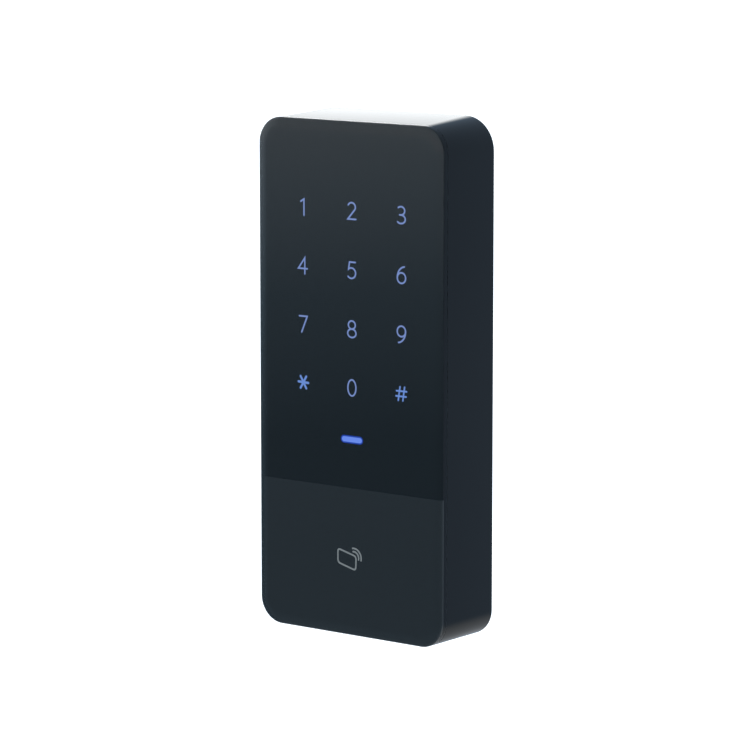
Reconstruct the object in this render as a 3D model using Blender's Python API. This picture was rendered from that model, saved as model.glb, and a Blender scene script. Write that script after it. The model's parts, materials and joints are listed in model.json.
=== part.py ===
"""Wall-mounted touch keypad access reader with a card antenna, built as an assembly.

Units are metres. X is to the reader's right as a person faces it, +Z is up, the wall is the
plane Y = 0 and the glass faces -Y. The origin is the middle of the bracket's wall face.

Depths in this script are measured from the glass's front face towards the wall.
"""
import math

import bmesh
import bpy

# Outer envelope.
WIDTH = 0.0795
HEIGHT = 0.178
DEPTH = 0.0305
CORNER_RADIUS = 0.0092
GLASS_EDGE_RADIUS = 0.0009
GLASS_CROWN_WIDTH = 0.0040
GLASS_CROWN_TILT = math.radians(6.0)
REAR_EDGE_RADIUS = 0.0015
TOP_RISE = 0.0016
REAR_TOP_RADIUS = 0.0118

# Clearance between pieces that touch on the real reader.
GAP = 0.0003
GLASS_SEAM = 0.0001

# Housing walls, as insets from the outer outline.
RIM = 0.0012
SIDE_WALL = 0.0022
SEAL_LEDGE = 0.0016
CAVITY_INSET = SIDE_WALL + SEAL_LEDGE
HOUSING_FACE = 0.0018

# The stack from the glass back to the wall.
GLASS = 0.0030
FILM = 0.0005
TAPE = 0.0006
BAFFLE = 0.0035
TOUCH_BOARD = 0.0012
SPACER = 0.0040
MAIN_BOARD = 0.0016
GASKET = 0.0012
COVER_PLATE = 0.0020
BRACKET_PLATE = 0.0015

RIM_FRONT = GLASS + GLASS_SEAM
FILM_FRONT = GLASS + GAP
SEAT = FILM_FRONT + TAPE + GAP
FACE_BACK = SEAT + HOUSING_FACE
TOUCH_FRONT = SEAT + BAFFLE + GAP
TOUCH_BACK = TOUCH_FRONT + TOUCH_BOARD
SPACER_FRONT = TOUCH_BACK + GAP
MAIN_FRONT = SPACER_FRONT + SPACER + GAP
MAIN_BACK = MAIN_FRONT + MAIN_BOARD
PARTS_FRONT = MAIN_BACK + GAP
COVER_FRONT = 0.0240
COVER_BACK = COVER_FRONT + COVER_PLATE
LEDGE_DEPTH = COVER_FRONT - GAP - GASKET - GAP
BRACKET_FRONT = DEPTH - BRACKET_PLATE
HOUSING_DEPTH = DEPTH - GAP

# Key grid and status bar on the face, from the face's centre.
KEY_PITCH_X = 0.0213
KEY_PITCH_Z = 0.0203
TOP_ROW_Z = 0.0583
KEY_ROWS = (("1", "2", "3"), ("4", "5", "6"), ("7", "8", "9"), ("star", "0", "hash"))
KEY_CELL = (0.0120, 0.0150, 0.0015)
BAR_Z = -0.0204
BAR_SIZE = (0.0096, 0.0027)
BAR_CELL = (0.0140, 0.0060, 0.0015)
BAR_GUIDE_LENGTH = 0.0022

# Keypad window in the housing's front wall, and the boards behind it.
WINDOW_WIDTH = 0.0572
WINDOW_LOW = -0.0286
WINDOW_HIGH = 0.0676
BOARD_WIDTH = 0.0580
TOUCH_HEIGHT = 0.1120
TOUCH_Z = 0.0200
MAIN_HEIGHT = 0.1380
MAIN_Z = 0.0110
BOARD_FIXINGS = tuple((x, z) for z in (0.0712, -0.0316) for x in (-0.0260, 0.0260))
BOARD_BOSS_RADIUS = 0.0025
BOARD_HOLE_RADIUS = 0.0016
SPACER_RADIUS = 0.0026
ANTENNA_Z = -0.0625
COIL = 0.0010
CARRIER_BOARD = 0.0008
FERRITE = 0.0005

# Rear cover fixings.
COVER_FIXINGS = tuple((x, z) for z in (0.0790, -0.0080, -0.0790) for x in (-0.0324, 0.0324))
COVER_BOSS_RADIUS = 0.0030
COVER_BOSS_HOLE_DEPTH = 0.0130
COVER_SCREW = 0.0100
COUNTERBORE = 0.0012
PILOT_RADIUS = 0.0013
CLEAR_RADIUS = 0.0014
WELD = 0.0005

# Bracket plate, its hooks and the pockets that they enter.
BRACKET_WIDTH = 0.0700
BRACKET_TOP = 0.0760
BRACKET_BOTTOM = -0.0740
HOOK_WIDTH = 0.0100
HOOK_RISE = 0.0060
HOOK_PLACES = tuple((x, z) for z in (0.0580, -0.0380) for x in (-0.0240, 0.0240))
LIFT = 0.0060
POCKET_WALL = 0.0015
HOOK_TAB_BACK = COVER_FRONT - GAP
HOOK_TAB_FRONT = HOOK_TAB_BACK - BRACKET_PLATE
POCKET_INNER = HOOK_TAB_FRONT - GAP
WALL_SLOT = (0.0042, 0.0090, 0.0020)
WALL_SLOT_HEIGHTS = (0.0620, -0.0215)
WALL_HOLE_RADIUS = 0.0021
WALL_HOLES = ((-0.03015, -0.0120), (0.03015, -0.0120))
CABLE_Z = 0.0280
CABLE_WINDOW = (0.0360, 0.0360, 0.0040)
GROMMET_HOLE_RADIUS = 0.0090
GROMMET_BORE_RADIUS = 0.0045
GROMMET_LIP = 0.0018

# Stickers on the rear cover.
VENT_PLACE = (-0.0260, 0.0140)
VENT_RADIUS = 0.0040
VENT_HOLE_RADIUS = 0.0010
LABEL_Z = -0.0360
STICKER = 0.0003

# Lock screw through the bottom wall into the bracket's flange.
LOCK_DEPTH = 0.0260
LOCK_SHANK_RADIUS = 0.0015
LOCK_HEAD_RADIUS = 0.0029
LOCK_TIP_Z = -0.0720
FLANGE_TOP_Z = -0.0745
FLANGE_WIDTH = 0.0180
FLANGE_FRONT = 0.0215
BAY_WIDTH = 0.0240
BAY_TOP_Z = -0.0620
BAY_BOTTOM_Z = -0.0832
BAY_FRONT = 0.0185
BAY_WALL = 0.0015

# Tamper plunger, pressed flush with the wall plane at rest.
TAMPER_PLACE = (0.0260, 0.0020)
TAMPER_RADIUS = 0.0025
TAMPER_COLLAR_RADIUS = 0.0031
TAMPER_PIN_RADIUS = 0.0010
TAMPER_COLLAR_FRONT = 0.0195
TAMPER_COLLAR_BACK = 0.0203
TAMPER_TRAVEL = 0.0015
TAMPER_GUIDE_FRONT = TAMPER_COLLAR_BACK + TAMPER_TRAVEL + GAP

CORNER_SEGMENTS = 8
HOLE_SEGMENTS = 16


def clear_scene():
    for old in list(bpy.data.objects):
        bpy.data.objects.remove(old, do_unlink=True)


def wall_y(depth):
    """The Y of a point this far behind the glass's front face."""
    return depth - DEPTH


def make_material(name, colour, roughness, metallic=0.0):
    material = bpy.data.materials.new(name)
    material.use_nodes = True
    shader = material.node_tree.nodes["Principled BSDF"]
    shader.inputs["Base Color"].default_value = (*colour, 1.0)
    shader.inputs["Roughness"].default_value = roughness
    shader.inputs["Metallic"].default_value = metallic
    return material


# Outlines. Each is a list of flat points in order round the shape.


def rounded_polygon(corners, segments=CORNER_SEGMENTS):
    """Replaces each corner (u, v, radius) of a polygon with an arc that touches both sides."""
    points = []
    for index, (u, v, radius) in enumerate(corners):
        if radius <= 0.0:
            points.append((u, v))
            continue
        before = corners[index - 1]
        after = corners[(index + 1) % len(corners)]
        to_before = math.atan2(before[1] - v, before[0] - u)
        to_after = math.atan2(after[1] - v, after[0] - u)
        turn = (to_after - to_before + math.pi) % (2.0 * math.pi) - math.pi
        half = abs(turn) / 2.0
        middle = to_before + turn / 2.0
        reach = radius / math.sin(half)
        centre = (u + reach * math.cos(middle), v + reach * math.sin(middle))
        sweep = math.copysign(math.pi - 2.0 * half, -turn)
        start = middle + math.pi - sweep / 2.0
        for step in range(segments + 1):
            angle = start + sweep * step / segments
            points.append(
                (centre[0] + radius * math.cos(angle), centre[1] + radius * math.sin(angle))
            )
    return points


def rounded_rectangle(width, height, radius, centre=(0.0, 0.0), segments=CORNER_SEGMENTS):
    x, z = centre
    half_width = width / 2.0
    half_height = height / 2.0
    corners = (
        (x + half_width, z + half_height, radius),
        (x - half_width, z + half_height, radius),
        (x - half_width, z - half_height, radius),
        (x + half_width, z - half_height, radius),
    )
    return rounded_polygon(corners, segments)


def case_outline(inset):
    """The reader's outer outline, moved inwards by the inset."""
    return rounded_rectangle(
        WIDTH - 2.0 * inset, HEIGHT - 2.0 * inset, CORNER_RADIUS - inset
    )


def rear_outline(inset):
    """The outline at the back. The top wall slopes up to it, and its top corners are rounder."""
    side = WIDTH / 2.0 - inset
    top = HEIGHT / 2.0 + TOP_RISE - inset
    bottom = -HEIGHT / 2.0 + inset
    corners = (
        (side, top, REAR_TOP_RADIUS - inset),
        (-side, top, REAR_TOP_RADIUS - inset),
        (-side, bottom, CORNER_RADIUS - inset),
        (side, bottom, CORNER_RADIUS - inset),
    )
    return rounded_polygon(corners)


def circle(radius, centre=(0.0, 0.0), segments=HOLE_SEGMENTS):
    return [
        (
            centre[0] + radius * math.cos(2.0 * math.pi * step / segments),
            centre[1] + radius * math.sin(2.0 * math.pi * step / segments),
        )
        for step in range(segments)
    ]


# Shapes. Each adds one closed shell to a bmesh.


def add_loft(bm, rings):
    """Joins rings of equal point counts with quads and caps both ends."""
    loops = [[bm.verts.new(point) for point in ring] for ring in rings]
    for lower, upper in zip(loops, loops[1:]):
        for index in range(len(lower)):
            following = (index + 1) % len(lower)
            bm.faces.new((lower[index], lower[following], upper[following], upper[index]))
    bm.faces.new(loops[0])
    bm.faces.new(loops[-1])


def add_slab(bm, outline, front, back):
    """An X/Z outline with thickness, between two depths."""
    add_loft(bm, [[(x, wall_y(depth), z) for x, z in outline] for depth in (front, back)])


def add_box(bm, x_range, depth_range, z_range):
    outline = [(x_range[0], z_range[0]), (x_range[1], z_range[0])]
    outline += [(x_range[1], z_range[1]), (x_range[0], z_range[1])]
    add_slab(bm, outline, *depth_range)


def add_bar(bm, outline, left, right):
    """A depth/Z outline drawn out along X."""
    add_loft(bm, [[(x, wall_y(depth), z) for depth, z in outline] for x in (left, right)])


def add_turned(bm, profile, centre, segments=HOLE_SEGMENTS):
    """Turns a (radius, depth) profile about an axis along Y. Radii are above zero."""
    add_loft(
        bm,
        [
            [(x, wall_y(depth), z) for x, z in circle(radius, centre, segments)]
            for radius, depth in profile
        ],
    )


def add_upright(bm, profile, centre, segments=HOLE_SEGMENTS):
    """Turns a (radius, z) profile about a vertical axis at (x, y)."""
    add_loft(
        bm,
        [[(x, y, z) for x, y in circle(radius, centre, segments)] for radius, z in profile],
    )


def add_ring(bm, outer, inner, front, back):
    """A closed frame between an outer and an inner outline of equal point counts."""
    loops = [
        [bm.verts.new((x, wall_y(depth), z)) for x, z in outline]
        for outline, depth in ((outer, front), (outer, back), (inner, back), (inner, front))
    ]
    for side in range(4):
        first = loops[side]
        second = loops[(side + 1) % 4]
        for index in range(len(first)):
            following = (index + 1) % len(first)
            bm.faces.new((first[index], first[following], second[following], second[index]))


# Objects.


def build(name, material, parent=None):
    """Starts an object. The caller adds shells to the bmesh and passes both to finish."""
    mesh = bpy.data.meshes.new(name)
    piece = bpy.data.objects.new(name, mesh)
    bpy.context.collection.objects.link(piece)
    if material is not None:
        mesh.materials.append(material)
    piece.parent = parent
    return piece, bmesh.new()


def finish(piece, bm, origin=(0.0, 0.0, 0.0)):
    """Turns the bmesh into the object's mesh, with the object's origin where asked."""
    bmesh.ops.recalc_face_normals(bm, faces=bm.faces)
    bmesh.ops.translate(bm, verts=bm.verts, vec=[-value for value in origin])
    bm.to_mesh(piece.data)
    bm.free()
    piece.location = origin
    piece.data.shade_smooth()
    piece.data.set_sharp_from_angle(angle=math.radians(35.0))
    return piece


def slab(name, material, outline, front, thickness, parent):
    piece, bm = build(name, material, parent)
    add_slab(bm, outline, front, front + thickness)
    return finish(piece, bm)


def combine(piece, other, operation):
    """Joins or cuts a piece with a hidden helper, which isn't part of the reader."""
    other.hide_render = True
    other.display_type = "WIRE"
    modifier = piece.modifiers.new(other.name, "BOOLEAN")
    modifier.operation = operation
    modifier.solver = "EXACT"
    modifier.object = other


def helper(piece, suffix, shells, operation):
    """Makes one helper from several separate shells and combines it with the piece."""
    other, bm = build(piece.name + suffix, None)
    for add, *values in shells:
        add(bm, *values)
    finish(other, bm)
    combine(piece, other, operation)


def cut(piece, suffix, *shells):
    helper(piece, suffix, shells, "DIFFERENCE")


def join(piece, suffix, *shells):
    helper(piece, suffix, shells, "UNION")


# Materials.


def make_materials():
    return {
        "housing": make_material("black_polycarbonate", (0.010, 0.012, 0.014), 0.22),
        "glass": make_material("tempered_glass", (0.020, 0.024, 0.028), 0.03),
        "film": make_material("black_printed_film", (0.006, 0.007, 0.009), 0.35),
        "foam": make_material("black_foam_tape", (0.015, 0.015, 0.015), 0.90),
        "baffle": make_material("white_polycarbonate", (0.80, 0.80, 0.78), 0.45),
        "guide": make_material("frosted_acrylic", (0.55, 0.66, 0.90), 0.30),
        "board": make_material("green_circuit_board", (0.020, 0.120, 0.050), 0.40),
        "led": make_material("led_package", (0.85, 0.84, 0.70), 0.35),
        "brass": make_material("brass_spacer", (0.62, 0.45, 0.16), 0.30, 1.0),
        "steel": make_material("zinc_plated_steel", (0.60, 0.61, 0.62), 0.32, 1.0),
        "black_screw": make_material("blackened_steel", (0.05, 0.05, 0.05), 0.35, 1.0),
        "component": make_material("black_epoxy", (0.018, 0.018, 0.020), 0.50),
        "can": make_material("tin_plated_can", (0.70, 0.70, 0.68), 0.28, 1.0),
        "copper": make_material("enamelled_copper", (0.62, 0.26, 0.10), 0.30, 1.0),
        "ferrite": make_material("ferrite", (0.060, 0.058, 0.055), 0.60),
        "relay": make_material("relay_case", (0.030, 0.110, 0.260), 0.40),
        "cover": make_material("black_abs_cover", (0.020, 0.020, 0.022), 0.50),
        "rubber": make_material("black_silicone", (0.020, 0.020, 0.020), 0.75),
        "membrane": make_material("vent_membrane_white", (0.82, 0.82, 0.80), 0.70),
        "label": make_material("blank_label", (0.78, 0.79, 0.80), 0.55),
        "plunger": make_material("white_acetal", (0.75, 0.75, 0.72), 0.40),
    }


# Front of the reader.


def edge_arc(radius, start=0.0, steps=3):
    """Insets and drops of a round edge, from a face tilted by the start angle to the side."""
    arc = []
    for step in range(steps + 1):
        tilt = start + (math.pi / 2.0 - start) * step / steps
        inset = radius * (1.0 - math.sin(tilt))
        arc.append((inset, radius * (math.cos(start) - math.cos(tilt))))
    return arc


def glass_sections():
    """Insets and depths of the glass's front: flat, then a slight crown, then a round edge."""
    edge = edge_arc(GLASS_EDGE_RADIUS, GLASS_CROWN_TILT, 4)
    crown_radius = (GLASS_CROWN_WIDTH - edge[0][0]) / math.sin(GLASS_CROWN_TILT)
    crown = []
    for share in (0.0, 0.5):
        tilt = GLASS_CROWN_TILT * share
        inset = GLASS_CROWN_WIDTH - crown_radius * math.sin(tilt)
        crown.append((inset, crown_radius * (1.0 - math.cos(tilt))))
    crown_drop = crown_radius * (1.0 - math.cos(GLASS_CROWN_TILT))
    return crown + [(inset, crown_drop + drop) for inset, drop in edge]


def front_housing(material, parent):
    """One deep shell: a thin lip behind the glass's edge, the front wall and the side walls.

    The top wall slopes up towards the wall, so that rain runs forward off it.
    """
    piece, bm = build("front_housing", material, parent)
    sections = [(case_outline(0.0), RIM_FRONT)]
    for inset, drop in reversed(edge_arc(REAR_EDGE_RADIUS)):
        sections.append((rear_outline(inset), HOUSING_DEPTH - drop))
    add_loft(bm, [[(x, wall_y(depth), z) for x, z in outline] for outline, depth in sections])
    finish(piece, bm)
    window_z = (WINDOW_LOW + WINDOW_HIGH) / 2.0
    window = rounded_rectangle(
        WINDOW_WIDTH, WINDOW_HIGH - WINDOW_LOW, 0.0020, (0.0, window_z), 4
    )
    cut(piece, "_front_recess", (add_slab, case_outline(RIM), RIM_FRONT - GAP, SEAT))
    cut(piece, "_board_cavity", (add_slab, case_outline(CAVITY_INSET), FACE_BACK, DEPTH))
    cut(piece, "_cover_recess", (add_slab, case_outline(SIDE_WALL), LEDGE_DEPTH, DEPTH))
    cut(piece, "_window", (add_slab, window, SEAT - GAP, FACE_BACK + GAP))
    boss_root = FACE_BACK - 0.0008
    join(
        piece,
        "_bosses",
        *[
            (add_slab, circle(COVER_BOSS_RADIUS, place), boss_root, COVER_FRONT - GAP)
            for place in COVER_FIXINGS
        ],
        *[
            (add_slab, circle(BOARD_BOSS_RADIUS, place, 12), boss_root, TOUCH_FRONT - GAP)
            for place in BOARD_FIXINGS
        ],
    )
    cut(
        piece,
        "_screw_holes",
        *[
            (add_slab, circle(PILOT_RADIUS, place, 12), COVER_BOSS_HOLE_DEPTH, COVER_FRONT)
            for place in COVER_FIXINGS
        ],
        *[
            (add_slab, circle(CLEAR_RADIUS, place, 12), SEAT + 0.0008, TOUCH_FRONT)
            for place in BOARD_FIXINGS
        ],
    )
    bottom = -HEIGHT / 2.0
    cut(piece, "_lock_hole", (add_upright, lock_hole_profile(bottom), (0.0, wall_y(LOCK_DEPTH))))
    return piece


def lock_hole_profile(bottom):
    """Radii and heights of the countersunk hole in the bottom wall."""
    wide = LOCK_HEAD_RADIUS + GAP
    narrow = LOCK_SHANK_RADIUS + GAP
    return (
        (wide + GAP, bottom - GAP),
        (wide, bottom),
        (narrow, bottom + wide - narrow),
        (narrow, bottom + SIDE_WALL + GAP),
    )


def cover_glass(material, parent):
    """The glass plate. It covers the whole front, and its front edge is rounded."""
    piece, bm = build("cover_glass", material, parent)
    sections = glass_sections() + [(0.0, GLASS)]
    add_loft(
        bm,
        [[(x, wall_y(depth), z) for x, z in case_outline(inset)] for inset, depth in sections],
    )
    return finish(piece, bm)


def front_stack(materials, parent):
    """Tape, film, light baffle and light guide between the glass and the touch board."""
    tape_outer = RIM + GAP
    tape_inner = tape_outer + 0.0025
    tape, bm = build("glass_adhesive", materials["foam"], parent)
    outer = case_outline(tape_outer)
    add_ring(bm, outer, case_outline(tape_inner), FILM_FRONT, FILM_FRONT + TAPE)
    finish(tape, bm)
    film = case_outline(tape_inner + GAP)
    slab("legend_film", materials["film"], film, FILM_FRONT, FILM, parent)
    baffle_width = WINDOW_WIDTH - 4.0 * GAP
    baffle_height = WINDOW_HIGH - WINDOW_LOW - 4.0 * GAP
    baffle_centre = (0.0, (WINDOW_LOW + WINDOW_HIGH) / 2.0)
    baffle_outline = rounded_rectangle(baffle_width, baffle_height, 0.0015, baffle_centre, 3)
    baffle = slab("light_baffle", materials["baffle"], baffle_outline, SEAT, BAFFLE, parent)
    cells = [rounded_rectangle(*KEY_CELL, place, 2) for _, place in key_places()]
    cells.append(rounded_rectangle(*BAR_CELL, (0.0, BAR_Z), 2))
    cut(
        baffle,
        "_cells",
        *[(add_slab, cell, SEAT - GAP, SEAT + BAFFLE + GAP) for cell in cells],
    )
    bar = rounded_rectangle(*BAR_SIZE, BAR_SIZE[1] / 2.0 - 0.0001, (0.0, BAR_Z), 4)
    slab("status_light_guide", materials["guide"], bar, SEAT, BAR_GUIDE_LENGTH, parent)


def key_places():
    """(name, centre) of each key on the face."""
    return [
        (name, ((column - 1) * KEY_PITCH_X, TOP_ROW_Z - row * KEY_PITCH_Z))
        for row, names in enumerate(KEY_ROWS)
        for column, name in enumerate(names)
    ]


def lamp(name, material, centre, parent):
    """A surface-mounted lamp whose lens narrows towards the glass."""
    piece, bm = build(name, material, parent)
    back = TOUCH_FRONT - GAP
    sections = ((0.0022, 0.0018, back - 0.0010), (0.0030, 0.0026, back - 0.0005))
    sections += ((0.0030, 0.0026, back),)
    rings = []
    for width, height, depth in sections:
        outline = rounded_rectangle(width, height, 0.0, centre)
        rings.append([(x, wall_y(depth), z) for x, z in outline])
    add_loft(bm, rings)
    return finish(piece, bm)


def lamps(material, parent):
    for name, place in key_places():
        lamp("key_led_" + name, material, place, parent)
    lamp("status_led", material, (0.0, BAR_Z), parent)


# Boards and what they carry.


def drilled_board(name, material, outline, front, thickness, holes, parent):
    board = slab(name, material, outline, front, thickness, parent)
    cut(
        board,
        "_holes",
        *[
            (add_slab, circle(radius, place, 12), front - GAP, front + thickness + GAP)
            for radius, place in holes
        ],
    )
    return board


def boards(materials, parent):
    holes = [(BOARD_HOLE_RADIUS, place) for place in BOARD_FIXINGS]
    touch = rounded_rectangle(BOARD_WIDTH, TOUCH_HEIGHT, 0.0020, (0.0, TOUCH_Z), 3)
    drilled_board(
        "touch_board", materials["board"], touch, TOUCH_FRONT, TOUCH_BOARD, holes, parent
    )
    main = rounded_rectangle(BOARD_WIDTH, MAIN_HEIGHT, 0.0020, (0.0, MAIN_Z), 3)
    drilled_board("main_board", materials["board"], main, MAIN_FRONT, MAIN_BOARD, holes, parent)
    for number, place in enumerate(BOARD_FIXINGS, 1):
        spacer, bm = build(f"board_spacer_{number}", materials["brass"], parent)
        outer = circle(SPACER_RADIUS, place, 6)
        inner = circle(BOARD_HOLE_RADIUS, place, 6)
        add_ring(bm, outer, inner, SPACER_FRONT, SPACER_FRONT + SPACER)
        finish(spacer, bm)
    link = rounded_rectangle(0.0150, 0.0040, 0.0005, (0.0, 0.0290), 2)
    slab("board_link", materials["component"], link, SPACER_FRONT, SPACER, parent)


def antenna(materials, parent):
    """Wound coil, its carrier board, the ferrite behind it and the link to the main board."""
    coil_front = FACE_BACK + GAP
    coil, bm = build("antenna_coil", materials["copper"], parent)
    outer = rounded_rectangle(0.0540, 0.0360, 0.0060, (0.0, ANTENNA_Z), 5)
    inner = rounded_rectangle(0.0460, 0.0280, 0.0020, (0.0, ANTENNA_Z), 5)
    add_ring(bm, outer, inner, coil_front, coil_front + COIL)
    finish(coil, bm)
    board_front = coil_front + COIL + GAP
    board = rounded_rectangle(BOARD_WIDTH, 0.0410, 0.0020, (0.0, ANTENNA_Z), 3)
    slab("antenna_board", materials["board"], board, board_front, CARRIER_BOARD, parent)
    ferrite_front = board_front + CARRIER_BOARD + GAP
    ferrite = rounded_rectangle(0.0500, 0.0240, 0.0010, (0.0, ANTENNA_Z - 0.0060), 2)
    slab("ferrite_sheet", materials["ferrite"], ferrite, ferrite_front, FERRITE, parent)
    link = rounded_rectangle(0.0080, 0.0030, 0.0004, (0.0180, -0.0490), 2)
    link_length = MAIN_FRONT - GAP - ferrite_front
    slab("antenna_link", materials["component"], link, ferrite_front, link_length, parent)


def board_parts(materials, parent):
    """The parts on the wall side of the main board."""
    blocks = (
        ("processor_shield", "can", (0.0240, 0.0220), (-0.0060, 0.0560), 0.0030, 0.0008),
        ("lock_relay", "relay", (0.0150, 0.0190), (0.0200, 0.0280), 0.0072, 0.0008),
        ("power_inductor", "ferrite", (0.0070, 0.0070), (0.0100, -0.0140), 0.0035, 0.0012),
        ("interface_chip", "component", (0.0100, 0.0075), (-0.0180, -0.0220), 0.0022, 0.0003),
        ("tamper_switch", "component", (0.0056, 0.0060), TAMPER_PLACE, 0.0012, 0.0004),
    )
    for name, finish_name, size, place, height, radius in blocks:
        outline = rounded_rectangle(*size, radius, place, 3)
        slab(name, materials[finish_name], outline, PARTS_FRONT, height, parent)
    cylinders = (
        ("buzzer", "component", 0.0060, (-0.0200, 0.0280), 0.0055),
        ("clock_battery", "can", 0.0063, (-0.0160, 0.0040), 0.0030),
        ("filter_capacitor_1", "can", 0.0031, (-0.0040, -0.0140), 0.0056),
        ("filter_capacitor_2", "can", 0.0031, (-0.0040, -0.0230), 0.0056),
    )
    for name, finish_name, radius, place, height in cylinders:
        can, bm = build(name, materials[finish_name], parent)
        back = PARTS_FRONT + height
        chamfer = radius * 0.12
        profile = ((radius, PARTS_FRONT), (radius, back - chamfer), (radius - chamfer, back))
        add_turned(bm, profile, place, 20)
        finish(can, bm)


def wire_header(material, parent):
    """A shrouded header of two rows of pins, under the cable grommet."""
    rows, columns, pitch = 2, 6, 0.0025
    body = rounded_rectangle(0.0190, 0.0080, 0.0003, (0.0, CABLE_Z), 2)
    header = slab("wire_header", material, body, PARTS_FRONT, 0.0060, parent)
    well = rounded_rectangle(0.0170, 0.0060, 0.0003, (0.0, CABLE_Z), 2)
    well_front = PARTS_FRONT + 0.0012
    cut(header, "_well", (add_slab, well, well_front, PARTS_FRONT + 0.0070))
    pins = []
    for row in range(rows):
        for column in range(columns):
            x = (column - (columns - 1) / 2.0) * pitch
            z = CABLE_Z + (row - (rows - 1) / 2.0) * pitch
            pin = ((x - GAP, x + GAP), (well_front - GAP, PARTS_FRONT + 0.0052))
            pins.append((add_box, *pin, (z - GAP, z + GAP)))
    join(header, "_pins", *pins)


# Fasteners.


def pan_screw(name, material, place, seat, length, parent):
    """A cross-slotted screw driven from the wall side. Its head sits just off the seat."""
    piece, bm = build(name, material, parent)
    head = seat + GAP
    profile = (
        (0.0007, head - length),
        (0.0010, head - length + 0.0006),
        (0.0010, head),
        (0.0023, head),
        (0.0023, head + 0.0008),
        (0.0016, head + 0.0014),
    )
    add_turned(bm, profile, place, 12)
    finish(piece, bm)
    x, z = place
    recess = (head + 0.0007, head + 0.0020)
    slot = (add_box, (x - 0.0012, x + 0.0012), recess, (z - GAP, z + GAP))
    cross = (add_box, (x - GAP, x + GAP), recess, (z - 0.0012, z + 0.0012))
    cut(piece, "_slot", slot)
    cut(piece, "_cross", cross)


def screws(materials, parent):
    for number, place in enumerate(BOARD_FIXINGS, 1):
        length = MAIN_BACK - SEAT - 0.0014
        pan_screw(
            f"board_screw_{number}", materials["steel"], place, MAIN_BACK, length, parent
        )
    for number, place in enumerate(COVER_FIXINGS, 1):
        seat = COVER_BACK - COUNTERBORE
        pan_screw(
            f"cover_screw_{number}", materials["black_screw"], place, seat, COVER_SCREW, parent
        )


def lock_screw(material, parent):
    """A countersunk socket screw. Its origin lies on its own axis, level with the bottom."""
    bottom = -HEIGHT / 2.0
    face = bottom + 0.0001
    cone_top = face + LOCK_HEAD_RADIUS - LOCK_SHANK_RADIUS
    profile = (
        (LOCK_HEAD_RADIUS, face),
        (LOCK_SHANK_RADIUS, cone_top),
        (LOCK_SHANK_RADIUS, LOCK_TIP_Z - 0.0006),
        (LOCK_SHANK_RADIUS - 0.0005, LOCK_TIP_Z),
    )
    axis = (0.0, wall_y(LOCK_DEPTH))
    piece, bm = build("lock_screw", material, parent)
    add_upright(bm, profile, axis)
    finish(piece, bm, (*axis, bottom))
    socket, bm = build("lock_screw_socket", None)
    outline = circle(0.0012, axis, 6)
    add_loft(bm, [[(x, y, z) for x, y in outline] for z in (face - GAP, face + 0.0012)])
    finish(socket, bm)
    combine(piece, socket, "DIFFERENCE")
    return piece


# Back of the reader.


def pocket_shells(place):
    """The block, the hollow and the mouth of one hook pocket, in the rear cover."""
    x, z = place
    half = HOOK_WIDTH / 2.0 + 0.0008
    low = z - LIFT - 0.0008
    high = z + HOOK_RISE + 0.0008
    block = (
        add_box,
        (x - half - POCKET_WALL, x + half + POCKET_WALL),
        (POCKET_INNER - POCKET_WALL, COVER_FRONT + WELD),
        (low - POCKET_WALL, high + POCKET_WALL),
    )
    hollow = (add_box, (x - half, x + half), (POCKET_INNER, COVER_FRONT), (low, high))
    mouth_top = z + BRACKET_PLATE + GAP
    mouth_range = (COVER_FRONT - WELD, COVER_BACK + GAP)
    mouth = (add_box, (x - half, x + half), mouth_range, (low, mouth_top))
    return block, hollow, mouth


def rear_cover(material, parent):
    """A plate with four hook pockets, the lock bay, the tamper guide and the cable hole."""
    outline = case_outline(SIDE_WALL + GAP)
    piece = slab("rear_cover", material, outline, COVER_FRONT, COVER_PLATE, parent)
    pockets = [pocket_shells(place) for place in HOOK_PLACES]
    half = BAY_WIDTH / 2.0
    bay_block = (
        add_box,
        (-half - BAY_WALL, half + BAY_WALL),
        (BAY_FRONT - BAY_WALL, COVER_FRONT + WELD),
        (BAY_BOTTOM_Z - BAY_WALL, BAY_TOP_Z + BAY_WALL),
    )
    bay_range = (BAY_FRONT, COVER_BACK + GAP)
    bay = (add_box, (-half, half), bay_range, (BAY_BOTTOM_Z, BAY_TOP_Z))
    guide = circle(TAMPER_RADIUS + GAP + 0.0015, TAMPER_PLACE)
    join(
        piece,
        "_blocks",
        *[block for block, _, _ in pockets],
        bay_block,
        (add_slab, guide, TAMPER_GUIDE_FRONT, COVER_FRONT + WELD),
    )
    cut(piece, "_hollows", *[hollow for _, hollow, _ in pockets], bay)
    through = (COVER_FRONT - WELD, COVER_BACK + GAP)
    cut(
        piece,
        "_openings",
        *[mouth for _, _, mouth in pockets],
        (add_slab, circle(GROMMET_HOLE_RADIUS, (0.0, CABLE_Z), 32), *through),
        (add_slab, circle(VENT_HOLE_RADIUS, VENT_PLACE, 12), *through),
        (add_slab, circle(TAMPER_RADIUS + GAP, TAMPER_PLACE), 0.0200, COVER_BACK + GAP),
        *[(add_slab, circle(CLEAR_RADIUS, place, 12), *through) for place in COVER_FIXINGS],
    )
    cut(
        piece,
        "_counterbores",
        *[
            (add_slab, circle(0.0027, place), COVER_BACK - COUNTERBORE, COVER_BACK + GAP)
            for place in COVER_FIXINGS
        ],
    )
    narrow = LOCK_SHANK_RADIUS + GAP
    profile = ((narrow, -HEIGHT / 2.0), (narrow, BAY_BOTTOM_Z + GAP))
    cut(piece, "_lock_hole", (add_upright, profile, (0.0, wall_y(LOCK_DEPTH))))
    return piece


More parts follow.
